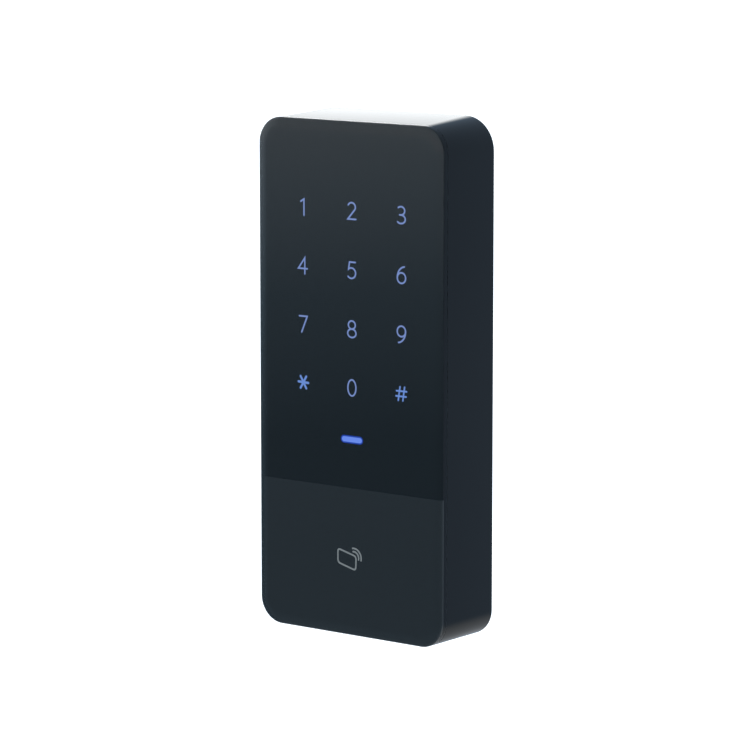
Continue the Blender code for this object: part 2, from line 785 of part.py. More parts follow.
def rear_trim(materials, parent):
    """Seal, grommet, vent membrane and a blank rating label."""
    seal, bm = build("housing_gasket", materials["rubber"], parent)
    outer = case_outline(SIDE_WALL + GAP)
    inner = case_outline(SIDE_WALL + GAP + 0.0010)
    add_ring(bm, outer, inner, LEDGE_DEPTH + GAP, COVER_FRONT - GAP)
    finish(seal, bm)
    cable_grommet(materials["rubber"], parent)
    vent = circle(VENT_RADIUS, VENT_PLACE, 20)
    slab("vent_membrane", materials["membrane"], vent, COVER_BACK + GAP, STICKER, parent)
    label = rounded_rectangle(0.0280, 0.0240, 0.0015, (0.0, LABEL_Z), 3)
    slab("rating_label", materials["label"], label, COVER_BACK + GAP, STICKER, parent)


def cable_grommet(material, parent):
    """A turned ring whose groove holds the edge of the cover's cable hole."""
    lip = GROMMET_HOLE_RADIUS + 0.0020
    groove = GROMMET_HOLE_RADIUS - GAP
    profile = (
        (GROMMET_BORE_RADIUS, COVER_FRONT - GROMMET_LIP),
        (lip, COVER_FRONT - GROMMET_LIP),
        (lip, COVER_FRONT - GAP),
        (groove, COVER_FRONT - GAP),
        (groove, COVER_BACK + GAP),
        (lip, COVER_BACK + GAP),
        (lip - 0.0006, COVER_BACK + GROMMET_LIP),
        (GROMMET_BORE_RADIUS, COVER_BACK + GROMMET_LIP),
    )
    piece, bm = build("cable_grommet", material, parent)
    rings = []
    for radius, depth in profile:
        points = circle(radius, (0.0, CABLE_Z), 24)
        rings.append([bm.verts.new((x, wall_y(depth), z)) for x, z in points])
    for first, second in zip(rings, rings[1:] + rings[:1]):
        for index in range(len(first)):
            following = (index + 1) % len(first)
            bm.faces.new((first[index], first[following], second[following], second[index]))
    return finish(piece, bm)


# Tamper plunger and its spring.


def tamper_plunger(material, parent):
    """The plunger, with its origin on its own axis in the wall plane."""
    profile = (
        (TAMPER_PIN_RADIUS, PARTS_FRONT + 0.0017),
        (TAMPER_PIN_RADIUS, TAMPER_COLLAR_FRONT),
        (TAMPER_COLLAR_RADIUS, TAMPER_COLLAR_FRONT),
        (TAMPER_COLLAR_RADIUS, TAMPER_COLLAR_BACK),
        (TAMPER_RADIUS, TAMPER_COLLAR_BACK),
        (TAMPER_RADIUS, DEPTH - 0.0006),
        (TAMPER_RADIUS - 0.0006, DEPTH),
    )
    piece, bm = build("tamper_plunger", material, parent)
    add_turned(bm, profile, TAMPER_PLACE)
    return finish(piece, bm, (TAMPER_PLACE[0], 0.0, TAMPER_PLACE[1]))


def tamper_spring(material, parent):
    """A helix between the switch and the plunger's collar."""
    turns, steps, sides = 2, 12, 6
    coil_radius, wire_radius = 0.00175, 0.00028
    start = PARTS_FRONT + 0.0012 + GAP + wire_radius
    end = TAMPER_COLLAR_FRONT - GAP - wire_radius
    rings = []
    for step in range(turns * steps + 1):
        angle = 2.0 * math.pi * step / steps
        depth = start + (end - start) * step / (turns * steps)
        ring = []
        for side in range(sides):
            around = 2.0 * math.pi * side / sides
            radius = coil_radius + wire_radius * math.cos(around)
            x = TAMPER_PLACE[0] + radius * math.cos(angle)
            z = TAMPER_PLACE[1] + radius * math.sin(angle)
            ring.append((x, wall_y(depth + wire_radius * math.sin(around)), z))
        rings.append(ring)
    piece, bm = build("tamper_spring", material, parent)
    add_loft(bm, rings)
    return finish(piece, bm)


# Wall bracket.


def hook_outline(z):
    """Depth/Z outline of a hook: an arm from the plate, turned up at its free end."""
    top = z + BRACKET_PLATE
    return rounded_polygon(
        (
            (DEPTH - 0.0002, z, 0.0),
            (DEPTH - 0.0002, top, 0.0),
            (HOOK_TAB_BACK, top, 0.0002),
            (HOOK_TAB_BACK, z + HOOK_RISE, 0.0),
            (HOOK_TAB_FRONT, z + HOOK_RISE, 0.0),
            (HOOK_TAB_FRONT, z, BRACKET_PLATE),
        ),
        4,
    )


def flange_outline():
    """Depth/Z outline of the bottom flange, bent forward from the plate's lower edge."""
    low = FLANGE_TOP_Z - BRACKET_PLATE
    return rounded_polygon(
        (
            (FLANGE_FRONT, low, 0.0),
            (DEPTH - 0.0001, low, BRACKET_PLATE),
            (DEPTH - 0.0001, FLANGE_TOP_Z + 0.0030, 0.0),
            (BRACKET_FRONT + 0.0001, FLANGE_TOP_Z + 0.0030, 0.0),
            (BRACKET_FRONT + 0.0001, FLANGE_TOP_Z, 0.0002),
            (FLANGE_FRONT, FLANGE_TOP_Z, 0.0),
        ),
        4,
    )


def wall_bracket(material):
    """A stamped plate with lanced hooks, a screw flange, fixing slots and a cable window."""
    plate_z = (BRACKET_TOP + BRACKET_BOTTOM) / 2.0
    plate_height = BRACKET_TOP - BRACKET_BOTTOM
    plate = rounded_rectangle(BRACKET_WIDTH, plate_height, 0.0040, (0.0, plate_z), 4)
    piece = slab("wall_bracket", material, plate, BRACKET_FRONT, BRACKET_PLATE, None)
    half_hook = HOOK_WIDTH / 2.0
    hooks = [(add_bar, hook_outline(z), x - half_hook, x + half_hook) for x, z in HOOK_PLACES]
    half_flange = FLANGE_WIDTH / 2.0
    join(piece, "_hooks", *hooks, (add_bar, flange_outline(), -half_flange, half_flange))
    through = (BRACKET_FRONT - GAP, DEPTH + GAP)
    lances = [
        rounded_rectangle(0.0106, 0.0110, 0.0010, (x, z + BRACKET_PLATE + 0.0055), 2)
        for x, z in HOOK_PLACES
    ]
    slots = [rounded_rectangle(*WALL_SLOT, (0.0, z), 4) for z in WALL_SLOT_HEIGHTS]
    holes = [circle(WALL_HOLE_RADIUS, place, 12) for place in WALL_HOLES]
    tamper_height = LIFT + 2.0 * TAMPER_RADIUS + 0.0016
    tamper_place = (TAMPER_PLACE[0], TAMPER_PLACE[1] + LIFT / 2.0)
    tamper = rounded_rectangle(0.0066, tamper_height, 0.0032, tamper_place, 5)
    window = rounded_rectangle(*CABLE_WINDOW, (0.0, CABLE_Z), 5)
    openings = [*lances, *slots, *holes, tamper, window]
    cut(piece, "_openings", *[(add_slab, opening, *through) for opening in openings])
    radius = LOCK_SHANK_RADIUS + GAP
    thread_low = FLANGE_TOP_Z - BRACKET_PLATE - GAP
    profile = ((radius, thread_low), (radius, FLANGE_TOP_Z + GAP))
    cut(piece, "_thread", (add_upright, profile, (0.0, wall_y(LOCK_DEPTH))))
    return piece


def main():
    clear_scene()
    materials = make_materials()
    wall_bracket(materials["steel"])
    reader = bpy.data.objects.new("reader", None)
    bpy.context.collection.objects.link(reader)
    front_housing(materials["housing"], reader)
    cover_glass(materials["glass"], reader)
    front_stack(materials, reader)
    lamps(materials["led"], reader)
    boards(materials, reader)
    antenna(materials, reader)
    board_parts(materials, reader)
    wire_header(materials["baffle"], reader)
    screws(materials, reader)
    rear_cover(materials["cover"], reader)
    rear_trim(materials, reader)
    tamper_plunger(materials["plunger"], reader)
    tamper_spring(materials["steel"], reader)
    lock_screw(materials["steel"], reader)


main()
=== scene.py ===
"""Looks of the wall-mounted keypad access reader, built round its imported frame.

Metres, X to the right, +Z up, the wall is the plane Y = 0 and the glass faces -Y.
"""
import json
import math

import bmesh
import bpy
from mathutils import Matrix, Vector

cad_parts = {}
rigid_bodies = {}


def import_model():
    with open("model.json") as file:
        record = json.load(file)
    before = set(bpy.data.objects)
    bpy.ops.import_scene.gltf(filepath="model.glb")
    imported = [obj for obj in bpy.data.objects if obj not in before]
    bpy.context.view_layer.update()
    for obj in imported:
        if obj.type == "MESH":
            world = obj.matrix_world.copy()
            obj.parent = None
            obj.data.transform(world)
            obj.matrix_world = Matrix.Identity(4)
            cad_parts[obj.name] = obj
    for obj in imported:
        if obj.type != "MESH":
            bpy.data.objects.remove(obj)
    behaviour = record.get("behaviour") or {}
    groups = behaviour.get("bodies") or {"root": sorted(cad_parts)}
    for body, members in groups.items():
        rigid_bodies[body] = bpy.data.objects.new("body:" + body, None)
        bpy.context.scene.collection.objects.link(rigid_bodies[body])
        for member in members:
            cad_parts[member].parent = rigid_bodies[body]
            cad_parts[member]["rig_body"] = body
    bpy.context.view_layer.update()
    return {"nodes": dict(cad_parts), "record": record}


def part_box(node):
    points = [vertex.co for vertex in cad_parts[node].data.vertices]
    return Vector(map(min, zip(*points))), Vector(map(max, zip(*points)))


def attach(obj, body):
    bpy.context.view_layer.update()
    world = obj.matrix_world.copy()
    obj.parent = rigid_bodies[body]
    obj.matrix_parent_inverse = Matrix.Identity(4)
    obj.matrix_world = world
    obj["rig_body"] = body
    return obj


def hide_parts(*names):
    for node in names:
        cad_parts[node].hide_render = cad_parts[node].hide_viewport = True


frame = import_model()
NODES = frame["nodes"]
MM = 0.001

# Outer form, read from the frame.
HOUSING_LOW, HOUSING_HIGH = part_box("front_housing")
GLASS_LOW, GLASS_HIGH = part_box("cover_glass")
BAFFLE_LOW, BAFFLE_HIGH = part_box("light_baffle")
FACE_Y = GLASS_LOW.y
REAR_Y = HOUSING_HIGH.y
WIDTH = HOUSING_HIGH.x - HOUSING_LOW.x
HEIGHT = GLASS_HIGH.z - GLASS_LOW.z
TOP_RISE = HOUSING_HIGH.z - GLASS_HIGH.z

CORNER_RADIUS = 9.2 * MM
GLASS_EDGE_RADIUS = 0.9 * MM
GLASS_CROWN_WIDTH = 4.0 * MM
GLASS_CROWN_TILT = math.radians(6.0)
REAR_EDGE_RADIUS = 1.5 * MM
REAR_TOP_RADIUS = 11.8 * MM
RIM = 1.2 * MM
SIDE_WALL = 2.2 * MM
CAVITY_INSET = 3.8 * MM
SEAT_Y = BAFFLE_LOW.y
FACE_BACK_Y = SEAT_Y + 1.8 * MM
LEDGE_DEPTH = 22.2 * MM
WINDOW_CLEARANCE = 0.6 * MM
WINDOW_RADIUS = 2.0 * MM

# How finely curves are divided, and the angle in degrees from which an edge shows as sharp.
CORNER_STEPS = 24
GLASS_EDGE_STEPS = 12
GLASS_CROWN_STEPS = 8
REAR_EDGE_STEPS = 10
ARC_STEPS = 28
CAP_STEPS = 8
SHARP_ANGLE = 35.0
SOFT_SHARP_ANGLE = 30.0

# Countersunk hole for the lock screw, through the bottom wall.
LOCK_DEPTH = 26.0 * MM
LOCK_HEAD_RADIUS = 2.9 * MM
LOCK_SHANK_RADIUS = 1.5 * MM
LOCK_GAP = 0.3 * MM
LOCK_SIDES = 48

# What is printed on the back of the glass and seen through it.
KEY_PITCH_X = 21.3 * MM
KEY_PITCH_Z = 20.3 * MM
TOP_ROW_Z = 58.3 * MM
KEY_ROWS = (("1", "2", "3"), ("4", "5", "6"), ("7", "8", "9"), ("star", "0", "hash"))
BAR_Z = -20.6 * MM
BAR_WIDTH = 9.6 * MM
BAR_HEIGHT = 2.7 * MM
BAR_RIM = 0.45 * MM
TONE_EDGE_Z = -37.6 * MM
CARD_CENTRE = (-2.1 * MM, -62.7 * MM)
PRINT_MARGIN = 0.06 * MM
PRINT_THICKNESS = 0.04 * MM
PRINT_Y = GLASS_HIGH.y - 0.02 * MM - PRINT_THICKNESS
EDGE_PAINT_DEPTH = 1.2 * MM
LEGEND_THICKNESS = 0.02 * MM
LEGEND_STROKE = 0.58 * MM
STAR_STROKE = 0.85 * MM
HASH_STROKE = 0.62 * MM
CARD_STROKE = 0.60 * MM
MITRE_LIMIT = 0.35

# Finishes: two close colours, a roughness range, the size of the surface grain and its height
# in millimetres, and how metallic the surface is.
FINISHES = {
    "housing_black": ((0.0024, 0.0028, 0.0032), (0.0032, 0.0036, 0.0040), (0.05, 0.08), 3.0, 0.0004, 0),
    "foam_tape": ((0.010, 0.010, 0.010), (0.020, 0.020, 0.020), (0.85, 0.95), 0.30, 0.030, 0),
    "white_plastic": ((0.76, 0.76, 0.74), (0.82, 0.82, 0.80), (0.40, 0.50), 0.50, 0.002, 0),
    "light_guide": ((0.50, 0.62, 0.88), (0.58, 0.68, 0.92), (0.30, 0.40), 0.30, 0.003, 0),
    "lamp": ((0.80, 0.78, 0.62), (0.88, 0.87, 0.76), (0.30, 0.40), 0.40, 0.002, 0),
    "brass": ((0.58, 0.42, 0.14), (0.68, 0.50, 0.20), (0.25, 0.35), 0.20, 0.002, 1),
    "zinc_steel": ((0.50, 0.52, 0.54), (0.64, 0.65, 0.66), (0.26, 0.40), 0.50, 0.004, 1),
    "black_steel": ((0.030, 0.030, 0.032), (0.050, 0.050, 0.052), (0.35, 0.48), 0.20, 0.003, 1),
    "can_metal": ((0.62, 0.62, 0.60), (0.74, 0.74, 0.72), (0.25, 0.35), 0.40, 0.002, 1),
    "component_black": ((0.014, 0.014, 0.015), (0.022, 0.022, 0.023), (0.45, 0.60), 0.15, 0.004, 0),
    "relay_blue": ((0.024, 0.090, 0.220), (0.034, 0.115, 0.270), (0.35, 0.45), 0.30, 0.002, 0),
    "ferrite": ((0.045, 0.044, 0.042), (0.070, 0.067, 0.062), (0.50, 0.65), 0.20, 0.006, 0),
    "copper": ((0.52, 0.20, 0.07), (0.66, 0.28, 0.11), (0.25, 0.35), 0.20, 0.004, 1),
    "cover_black": ((0.016, 0.017, 0.018), (0.024, 0.025, 0.027), (0.48, 0.62), 0.18, 0.012, 0),
    "rubber_black": ((0.014, 0.014, 0.014), (0.024, 0.024, 0.024), (0.60, 0.75), 0.50, 0.006, 0),
    "membrane": ((0.74, 0.74, 0.73), (0.84, 0.84, 0.83), (0.65, 0.80), 0.10, 0.006, 0),
    "label_blank": ((0.70, 0.71, 0.72), (0.76, 0.77, 0.78), (0.40, 0.50), 0.60, 0.002, 0),
    "plunger_white": ((0.70, 0.70, 0.67), (0.78, 0.78, 0.75), (0.35, 0.45), 0.30, 0.002, 0),
}

# The circuit boards' solder mask and the traces under it.
BOARD_GREEN = (0.012, 0.090, 0.035)
BOARD_PALER_GREEN = (0.016, 0.110, 0.042)
TRACE_GREEN = (0.045, 0.200, 0.075)
TRACE_LENGTH = 6.0 * MM
TRACE_PITCH = 1.2 * MM
TRACE_WIDTH = 0.15 * MM

# Inks. Each is mottled with a slightly denser tone.
UPPER_INK = (0.0006, 0.0007, 0.0008)
LOWER_INK = (0.0009, 0.0008, 0.0007)
LOWER_INK_SHEEN = 0.19
INK_ROUGHNESS = 0.25
INK_DENSER = 0.88
CARD_INK = (0.29, 0.274, 0.253)

# Light of the digits, of the star and hash, of the bar's middle and of its rim.
DIGIT_LIGHT = (0.163, 0.233, 0.500)
SIGN_LIGHT = (0.126, 0.232, 0.580)
BAR_LIGHT = (0.130, 0.235, 0.760)
BAR_RIM_LIGHT = (0.010, 0.045, 0.360)

# Stand-ins for CAD nodes: points this close are merged, faces this flat are joined.
MERGE_DISTANCE = 0.001 * MM
FLAT_ANGLE = math.radians(1.0)

# Edge softness in millimetres of the pieces that show from behind.
SOFT_EDGES = {
    "wall_bracket": 0.20,
    "rear_cover": 0.15,
    "cable_grommet": 0.25,
    "lock_screw": 0.08,
    "tamper_plunger": 0.12,
    "rating_label": 0.03,
    "vent_membrane": 0.03,
    **{f"cover_screw_{number}": 0.06 for number in range(1, 7)},
}

# Camera: its direction and distance from the middle of the glass, then its sideways and upward
# moves from there, and its lens in millimetres.
CAMERA_AZIMUTH = 37.74
CAMERA_ELEVATION = 8.647
CAMERA_DISTANCE = 1.2633
CAMERA_RIGHT = 9.29 * MM
CAMERA_UP = 1.71 * MM
CAMERA_LENS = 176.69

# Studio. Places are directions from the reader, each part of a unit vector. The front wall's
# stops are heights and brightnesses, and a fade or an edge runs from its first value to its last.
FRONT_WALL = (
    (-0.45, 0.42),
    (-0.30, 0.40),
    (-0.20, 0.34),
    (-0.168, 0.36),
    (-0.128, 0.55),
    (-0.098, 0.84),
    (-0.078, 1.02),
    (-0.03, 1.12),
    (0.40, 1.12),
)
FRONT_LEFT = ((-0.635, -0.76), (1.0, 1.75))
BACK_WALL = (0.23, 0.31, 0.41)
BACK_FLOOR = (0.49, 0.53, 0.57)
SOFT_BOX = (1.54, 1.59, 1.62)
SOFT_BOX_EDGE = (-0.43, -0.588)
SOFT_BOX_BOTTOM = (-0.03, 0.05)
SOFT_BOX_BACK = (0.0, 0.4)
FRONT_FADE = (0.4, -0.4)
FLOOR_FADE = (-0.22, -0.55)
DIM_TINT = (0.66, 1.0, 1.3)
DIM_BELOW = 0.4
TINT_SPREAD = 1.2
FLOOR_Z = -0.50
FLOOR_SIZE = 60.0


# Outlines, as flat (x, z) points in order.


def rounded_box(half_width, bottom, top, bottom_radius, top_radius):
    """An upright rectangle round X = 0, with one radius for its top corners and one below."""
    points = []
    for quarter in range(4):
        x_side = 1.0 if quarter in (0, 3) else -1.0
        upper = quarter in (0, 1)
        radius = top_radius if upper else bottom_radius
        x = x_side * (half_width - radius)
        z = top - radius if upper else bottom + radius
        for step in range(CORNER_STEPS + 1):
            angle = math.pi / 2.0 * (quarter + step / CORNER_STEPS)
            points.append((x + radius * math.cos(angle), z + radius * math.sin(angle)))
    return points


def case_outline(inset, rise=0.0, top_radius=CORNER_RADIUS):
    """The reader's outer outline, moved inwards by the inset, its top raised by the rise."""
    half_height = HEIGHT / 2.0 - inset
    return rounded_box(
        WIDTH / 2.0 - inset,
        -half_height,
        half_height + rise,
        CORNER_RADIUS - inset,
        top_radius - inset,
    )


def edge_arc(radius, start, steps):
    """Insets and drops of a round edge, from a face tilted by the start angle to the side."""
    arc = []
    for step in range(steps + 1):
        tilt = start + (math.pi / 2.0 - start) * step / steps
        inset = radius * (1.0 - math.sin(tilt))
        arc.append((inset, radius * (math.cos(start) - math.cos(tilt))))
    return arc


def glass_sections():
    """Insets and depths of the glass's front: flat, then a slight crown, then a round edge."""
    edge = edge_arc(GLASS_EDGE_RADIUS, GLASS_CROWN_TILT, GLASS_EDGE_STEPS)
    radius = (GLASS_CROWN_WIDTH - edge[0][0]) / math.sin(GLASS_CROWN_TILT)
    crown = []
    for step in range(GLASS_CROWN_STEPS):
        tilt = GLASS_CROWN_TILT * step / GLASS_CROWN_STEPS
        inset = GLASS_CROWN_WIDTH - radius * math.sin(tilt)
        crown.append((inset, radius * (1.0 - math.cos(tilt))))
    drop = radius * (1.0 - math.cos(GLASS_CROWN_TILT))
    return crown + [(inset, drop + edge_drop) for inset, edge_drop in edge]


def clip_outline(outline, height, above):
    """The part of an outline above or below a level line."""
    side = 1.0 if above else -1.0
    points = []
    for (x, z), (next_x, next_z) in zip(outline, outline[1:] + outline[:1]):
        inside = side * (z - height) >= 0.0
        next_inside = side * (next_z - height) >= 0.0
        if inside:
            points.append((x, z))
        if inside != next_inside:
            share = (height - z) / (next_z - z)
            points.append((x + (next_x - x) * share, height))
    return points


# Meshes.


def level(outline, y):
    """An outline as points at one depth."""
    return [(x, y, z) for x, z in outline]


def add_rings(bm, rings, closed):
    """Joins rings of equal point counts with quads. Open ends are capped."""
    loops = [[bm.verts.new(point) for point in ring] for ring in rings]
    following_loops = loops[1:] + (loops[:1] if closed else [])
    for lower, upper in zip(loops, following_loops):
        for index in range(len(lower)):
            following = (index + 1) % len(lower)
            bm.faces.new((lower[index], lower[following], upper[following], upper[index]))
    if not closed:
        bm.faces.new(loops[0])
        bm.faces.new(loops[-1])


def make_piece(name, bm, material, body="reader", sharp=SHARP_ANGLE):
    """Turns a bmesh into a smooth-shaded piece. It rides on a body unless that is None."""
    bmesh.ops.recalc_face_normals(bm, faces=bm.faces)
    mesh = bpy.data.meshes.new(name)
    bm.to_mesh(mesh)
    bm.free()
    mesh.shade_smooth()
    mesh.set_sharp_from_angle(angle=math.radians(sharp))
    mesh.materials.append(material)
    piece = bpy.data.objects.new(name, mesh)
    bpy.context.scene.collection.objects.link(piece)
    if body is not None:
        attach(piece, body)
    return piece


# Nodes. Patterns are in each piece's own coordinates, in metres.


def feed(tree, socket, value):
    """Sets a socket to a number, or links it to another node's output."""
    if isinstance(value, bpy.types.NodeSocket):
        tree.links.new(value, socket)
    else:
        socket.default_value = value


def calculate(tree, operation, *values):
    """The result of a sum on numbers or other nodes' outputs."""
    node = tree.nodes.new("ShaderNodeMath")
    node.operation = operation
    for socket, value in zip(node.inputs, values):
        feed(tree, socket, value)
    return node.outputs["Value"]


def remap(tree, value, source, target, smooth=False):
    """Spreads a value from one range over another."""
    node = tree.nodes.new("ShaderNodeMapRange")
    node.interpolation_type = "SMOOTHSTEP" if smooth else "LINEAR"
    numbers = (*source, *target)
    for name, number in zip(("From Min", "From Max", "To Min", "To Max"), numbers):
        node.inputs[name].default_value = number
    tree.links.new(value, node.inputs["Value"])
    return node.outputs["Result"]


def colour_ramp(tree, value, stops):
    """A ramp of (position, colour) stops."""
    node = tree.nodes.new("ShaderNodeValToRGB")
    elements = node.color_ramp.elements
    while len(elements) < len(stops):
        elements.new(1.0)
    for element, (position, colour) in zip(elements, stops):
        element.position = position
        element.color = (*colour, 1.0)
    tree.links.new(value, node.inputs["Fac"])
    return node.outputs["Color"]


def noise(tree, size, detail=4.0):
    """A noise whose features are about this many metres across."""
    coordinates = tree.nodes.new("ShaderNodeTexCoord")
    texture = tree.nodes.new("ShaderNodeTexNoise")
    texture.inputs["Scale"].default_value = 1.0 / size
    texture.inputs["Detail"].default_value = detail
    tree.links.new(coordinates.outputs["Object"], texture.inputs["Vector"])
    return texture.outputs["Fac"]


# Materials.


def new_material(name, colour, roughness, metallic=0.0):
    """A material and its shader, in one plain colour."""
    material = bpy.data.materials.new(name)
    material.use_nodes = True
    shader = material.node_tree.nodes["Principled BSDF"]
    shader.inputs["Base Color"].default_value = (*colour, 1.0)
    shader.inputs["Roughness"].default_value = roughness
    shader.inputs["Metallic"].default_value = metallic
    return material, shader


def vary_colour(tree, shader, value, low, high):
    """Mottles the colour along a value."""
    colour = colour_ramp(tree, value, ((0.35, low), (0.65, high)))
    tree.links.new(colour, shader.inputs["Base Color"])


def vary_roughness(tree, shader, value, roughness):
    """Spreads the roughness over a range along a value."""
    spread = remap(tree, value, (0.3, 0.7), roughness)
    tree.links.new(spread, shader.inputs["Roughness"])


def add_bump(tree, shader, value, height):
    """Raises the surface by up to this many metres along a value."""
    bump = tree.nodes.new("ShaderNodeBump")
    bump.inputs["Strength"].default_value = 1.0
    bump.inputs["Distance"].default_value = height
    tree.links.new(value, bump.inputs["Height"])
    tree.links.new(bump.outputs["Normal"], shader.inputs["Normal"])


def finish_material(name, low, high, roughness, grain, height, metallic):
    """The common finish: a broad mottle of colour and gloss, and a fine surface grain."""
    material, shader = new_material(name, low, roughness[0], metallic)
    tree = material.node_tree
    broad = noise(tree, grain * 12.0 * MM, 3.0)
    vary_colour(tree, shader, broad, low, high)
    vary_roughness(tree, shader, broad, roughness)
    add_bump(tree, shader, noise(tree, grain * MM, 5.0), height * MM)
    return material


def glass_material():
    """Clear glass, with a trace of handling haze in its gloss."""
    material, shader = new_material("glass_clear", (1.0, 1.0, 1.0), 0.0)
    shader.inputs["Transmission Weight"].default_value = 1.0
    shader.inputs["IOR"].default_value = 1.5
    tree = material.node_tree
    vary_roughness(tree, shader, noise(tree, 30.0 * MM), (0.0, 0.015))
    return material


def ink_material(name, colour, sheen=0.0):
    """Ink behind the glass. It is flat, because the glass covers it, unless it has a sheen."""
    material, shader = new_material(name, colour, INK_ROUGHNESS)
    shader.inputs["Specular IOR Level"].default_value = sheen
    tree = material.node_tree
    denser = tuple(channel * INK_DENSER for channel in colour)
    vary_colour(tree, shader, noise(tree, 15.0 * MM), denser, colour)
    return material


def glow(material, shader, colour, strength):
    """Makes a surface shine. It isn't used as a lamp, which would add noise elsewhere."""
    shader.inputs["Emission Color"].default_value = (*colour, 1.0)
    shader.inputs["Emission Strength"].default_value = strength
    material.cycles.emission_sampling = "NONE"


def lit_material(name, colour):
    """A diffuser lit from behind by a blue lamp. Its own colour is much darker than its light."""
    material, shader = new_material(name, tuple(channel * 0.1 for channel in colour), 0.5)
    shader.inputs["Specular IOR Level"].default_value = 0.0
    glow(material, shader, colour, 1.0)
    return material


def board_material():
    """Green solder mask, with paler traces showing through it and a fine weave."""
    material, shader = new_material("board_green", BOARD_GREEN, 0.35)
    tree = material.node_tree
    coordinates = tree.nodes.new("ShaderNodeTexCoord")
    upright = tree.nodes.new("ShaderNodeMapping")
    upright.inputs["Rotation"].default_value = (math.radians(90.0), 0.0, 0.0)
    tree.links.new(coordinates.outputs["Object"], upright.inputs["Vector"])
    traces = tree.nodes.new("ShaderNodeTexBrick")
    traces.inputs["Scale"].default_value = 1.0
    traces.inputs["Brick Width"].default_value = TRACE_LENGTH
    traces.inputs["Row Height"].default_value = TRACE_PITCH
    traces.inputs["Mortar Size"].default_value = TRACE_WIDTH
    traces.inputs["Color1"].default_value = (*BOARD_GREEN, 1.0)
    traces.inputs["Color2"].default_value = (*BOARD_PALER_GREEN, 1.0)
    traces.inputs["Mortar"].default_value = (*TRACE_GREEN, 1.0)
    tree.links.new(upright.outputs["Vector"], traces.inputs["Vector"])
    tree.links.new(traces.outputs["Color"], shader.inputs["Base Color"])
    add_bump(tree, shader, noise(tree, 0.4 * MM), 0.004 * MM)
    return material


def make_materials():
    """One material for each material slot of the record."""
    materials = {slot: finish_material(slot, *values) for slot, values in FINISHES.items()}
    materials["glass"] = glass_material()
    materials["film_black"] = ink_material("ink_black", UPPER_INK)
    materials["circuit_board"] = board_material()
    return materials


# Front of the reader.


def lock_hole_cutter(material):
    """A solid with the shape of the countersunk hole in the bottom wall."""
    bottom = GLASS_LOW.z
    wide = LOCK_HEAD_RADIUS + LOCK_GAP
    narrow = LOCK_SHANK_RADIUS + LOCK_GAP
    profile = (
        (wide + LOCK_GAP, bottom - LOCK_GAP),
        (wide, bottom),
        (narrow, bottom + wide - narrow),
        (narrow, bottom + SIDE_WALL + LOCK_GAP),
    )
    bm = bmesh.new()
    add_rings(bm, [upright_ring(radius, z) for radius, z in profile], closed=False)
    return make_piece("lock_hole_cutter", bm, material, None)


def upright_ring(radius, z):
    """A level circle round the lock screw's axis."""
    points = []
    for side in range(LOCK_SIDES):
        angle = math.tau * side / LOCK_SIDES
        y = FACE_Y + LOCK_DEPTH + radius * math.sin(angle)
        points.append((radius * math.cos(angle), y, z))
    return points


def cut(piece, cutter):
    """Takes the cutter's shape out of a piece, and removes the cutter."""
    modifier = piece.modifiers.new("cut", "BOOLEAN")
    modifier.object = cutter
    evaluated = piece.evaluated_get(bpy.context.evaluated_depsgraph_get())
    mesh = bpy.data.meshes.new_from_object(evaluated)
    piece.modifiers.clear()
    piece.data = mesh
    mesh.set_sharp_from_angle(angle=math.radians(SHARP_ANGLE))
    bpy.data.objects.remove(cutter)


def housing_piece(material):
    """The deep shell: outer wall, rear rim, cover recess, cavity, front wall and lip.

    Its top slopes up towards the wall, and its bottom has a hole for the lock screw.
    """
    window = rounded_box(
        BAFFLE_HIGH.x + WINDOW_CLEARANCE,
        BAFFLE_LOW.z - WINDOW_CLEARANCE,
        BAFFLE_HIGH.z + WINDOW_CLEARANCE,
        WINDOW_RADIUS,
        WINDOW_RADIUS,
    )
    rings = [level(case_outline(0.0), HOUSING_LOW.y)]
    for inset, drop in reversed(edge_arc(REAR_EDGE_RADIUS, 0.0, REAR_EDGE_STEPS)):
        rings.append(level(case_outline(inset, TOP_RISE, REAR_TOP_RADIUS), REAR_Y - drop))
    ledge_y = FACE_Y + LEDGE_DEPTH
    inside = (
        (case_outline(SIDE_WALL), REAR_Y),
        (case_outline(SIDE_WALL), ledge_y),
        (case_outline(CAVITY_INSET), ledge_y),
        (case_outline(CAVITY_INSET), FACE_BACK_Y),
        (window, FACE_BACK_Y),
        (window, SEAT_Y),
        (case_outline(RIM), SEAT_Y),
        (case_outline(RIM), HOUSING_LOW.y),
    )
    rings += [level(outline, y) for outline, y in inside]
    bm = bmesh.new()
    add_rings(bm, rings, closed=True)
    housing = make_piece("housing_shell", bm, material, None)
    cut(housing, lock_hole_cutter(material))
    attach(housing, "reader")
    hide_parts("front_housing")


def glass_piece(material):
    """The glass plate. Light passes it freely on its way to the print, which keeps noise down."""
    rings = [level(case_outline(inset), FACE_Y + depth) for inset, depth in glass_sections()]
    rings.append(level(case_outline(0.0), GLASS_HIGH.y))
    bm = bmesh.new()
    add_rings(bm, rings, closed=False)
    glass = make_piece("glass_plate", bm, material)
    glass.visible_shadow = False
    glass.visible_diffuse = False
    glass.visible_glossy = False
    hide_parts("cover_glass")


def print_piece(name, above, ink):
    """One tone of the ink. The two tones meet in a straight level edge."""
    outline = clip_outline(case_outline(PRINT_MARGIN), TONE_EDGE_Z, above)
    bm = bmesh.new()
    rings = [level(outline, y) for y in (PRINT_Y, PRINT_Y + PRINT_THICKNESS)]
    add_rings(bm, rings, closed=False)
    make_piece(name, bm, ink)


